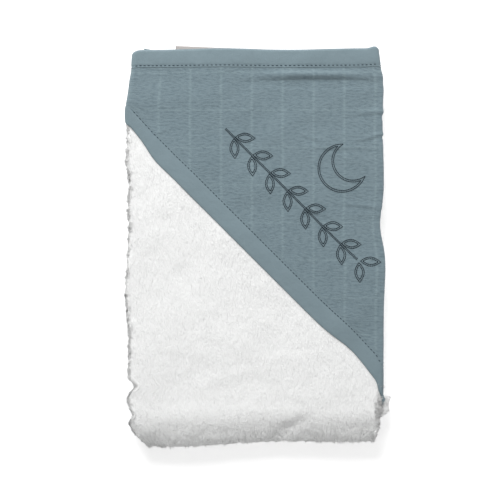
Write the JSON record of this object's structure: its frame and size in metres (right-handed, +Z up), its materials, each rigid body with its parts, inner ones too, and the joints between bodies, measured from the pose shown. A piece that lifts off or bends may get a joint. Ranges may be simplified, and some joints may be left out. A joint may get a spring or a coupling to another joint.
{
  "type": "hooded baby towel",
  "caption": "Square terry baby towel with a muslin hood over one corner, taped edges and a small embroidered sprig, folded into a neat rectangle.",
  "frame": {"origin": "middle of the folded towel's footprint, on the surface it lies on", "axes": "+X across the folded width to the side where the hood's corner is, +Y along the length to the bound top edge, +Z up out of the hood's face"},
  "size_m": [0.2569, 0.4036, 0.0301],
  "materials": {
    "terry": "matte",
    "muslin": "matte",
    "tape": "matte",
    "thread": "matte",
    "embroidery": "satin",
    "satin": "satin"
  },
  "bodies": {
    "back_half": {"terry_back_half": "terry", "terry_fold": "terry", "edge_binding_back": "tape", "edge_binding_fold": "tape", "edge_stitching_back": "thread", "care_label": "satin", "care_label_stitching": "thread"},
    "front_half": {"terry_front_half": "terry", "edge_binding_front": "tape", "edge_stitching_front": "thread", "hood_panel": "muslin", "hood_lining": "muslin", "hood_hem_binding": "tape", "hood_hem_stitching": "thread", "hood_embroidery": "embroidery"}
  },
  "joints": [
    {"name": "open_half_fold", "type": "hinge", "parent": "back_half", "child": "front_half", "pos_m": [0, -0.18768, 0.0151], "axis": [1, 0, 0], "range_deg": [0, 180], "deforming": ["terry_fold", "edge_binding_fold"]}
  ]
}
